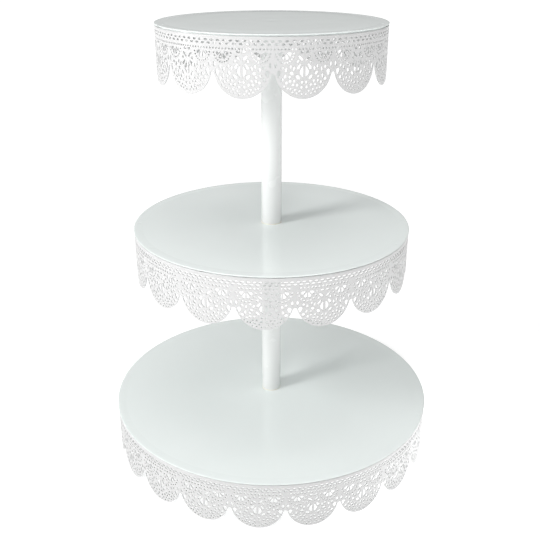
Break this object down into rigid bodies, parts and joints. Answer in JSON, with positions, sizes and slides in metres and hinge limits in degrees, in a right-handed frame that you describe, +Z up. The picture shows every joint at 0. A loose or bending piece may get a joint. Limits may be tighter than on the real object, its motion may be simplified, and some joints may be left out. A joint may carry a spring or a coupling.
{
  "type": "tiered cake stand",
  "caption": "Tiered round cake stand of white coated steel plates with scalloped lace skirts, screwed together on a plain centre pole.",
  "frame": {"origin": "centre of the stand at the height of the bottom skirt's scallop tips, where it stands on the table", "axes": "+Z up along the centre pole, -Y towards the front of the picture, +X to its right"},
  "size_m": [0.315, 0.315, 0.4128],
  "materials": {
    "plate_powder_coat": "glossy white powder coat",
    "lace_powder_coat": "satin white powder coat",
    "pole_powder_coat": "satin white powder coat",
    "zinc_hardware": "bright zinc plating",
    "gasket_plastic": "translucent soft plastic"
  },
  "bodies": {
    "bottom_tier": {"bottom_plate": "plate_powder_coat", "bottom_lace_skirt": "lace_powder_coat", "bottom_skirt_clips": "lace_powder_coat", "base_bolt": "zinc_hardware", "base_washer": "zinc_hardware"},
    "lower_screw_ring": {"lower_pole_foot_gasket": "gasket_plastic"},
    "lower_pole": {"lower_pole_tube": "pole_powder_coat", "lower_pole_foot_insert": "zinc_hardware", "lower_pole_head_insert": "zinc_hardware", "joining_stud": "zinc_hardware", "lower_pole_head_gasket": "gasket_plastic"},
    "middle_tier": {"middle_plate": "plate_powder_coat", "middle_lace_skirt": "lace_powder_coat", "middle_skirt_clips": "lace_powder_coat"},
    "upper_screw_ring": {"upper_pole_foot_gasket": "gasket_plastic"},
    "upper_pole": {"upper_pole_tube": "pole_powder_coat", "upper_pole_foot_insert": "zinc_hardware", "upper_pole_head_insert": "zinc_hardware"},
    "top_screw_ring": {"top_gasket": "gasket_plastic"},
    "top_tier": {"top_plate": "plate_powder_coat", "top_lace_skirt": "lace_powder_coat", "top_skirt_clips": "lace_powder_coat", "top_weld_stud": "zinc_hardware"}
  },
  "joints": [
    {"name": "lower_pole_lift", "type": "slide", "parent": "bottom_tier", "child": "lower_screw_ring", "axis": [0, 0, 1], "range_m": [0, 0.01]},
    {"name": "lower_pole_screw", "type": "hinge", "parent": "lower_screw_ring", "child": "lower_pole", "pos_m": [0, 0, 0.048], "axis": [0, 0, 1], "range_deg": [0, 2880]},
    {"name": "middle_tier_turn", "type": "hinge", "parent": "lower_pole", "child": "middle_tier", "pos_m": [0, 0, 0.2304], "axis": [0, 0, 1], "continuous": true},
    {"name": "upper_pole_lift", "type": "slide", "parent": "lower_pole", "child": "upper_screw_ring", "axis": [0, 0, 1], "range_m": [0, 0.01]},
    {"name": "upper_pole_screw", "type": "hinge", "parent": "upper_screw_ring", "child": "upper_pole", "pos_m": [0, 0, 0.2304], "axis": [0, 0, 1], "range_deg": [0, 2880]},
    {"name": "top_tier_lift", "type": "slide", "parent": "upper_pole", "child": "top_screw_ring", "axis": [0, 0, 1], "range_m": [0, 0.01]},
    {"name": "top_tier_screw", "type": "hinge", "parent": "top_screw_ring", "child": "top_tier", "pos_m": [0, 0, 0.4119], "axis": [0, 0, 1], "range_deg": [0, 2880]}
  ],
  "couplings": [
    {"joint": "lower_pole_screw", "follows": "lower_pole_lift", "rad_per_m": 5026.5},
    {"joint": "upper_pole_screw", "follows": "upper_pole_lift", "rad_per_m": 5026.5},
    {"joint": "top_tier_screw", "follows": "top_tier_lift", "rad_per_m": 5026.5}
  ]
}
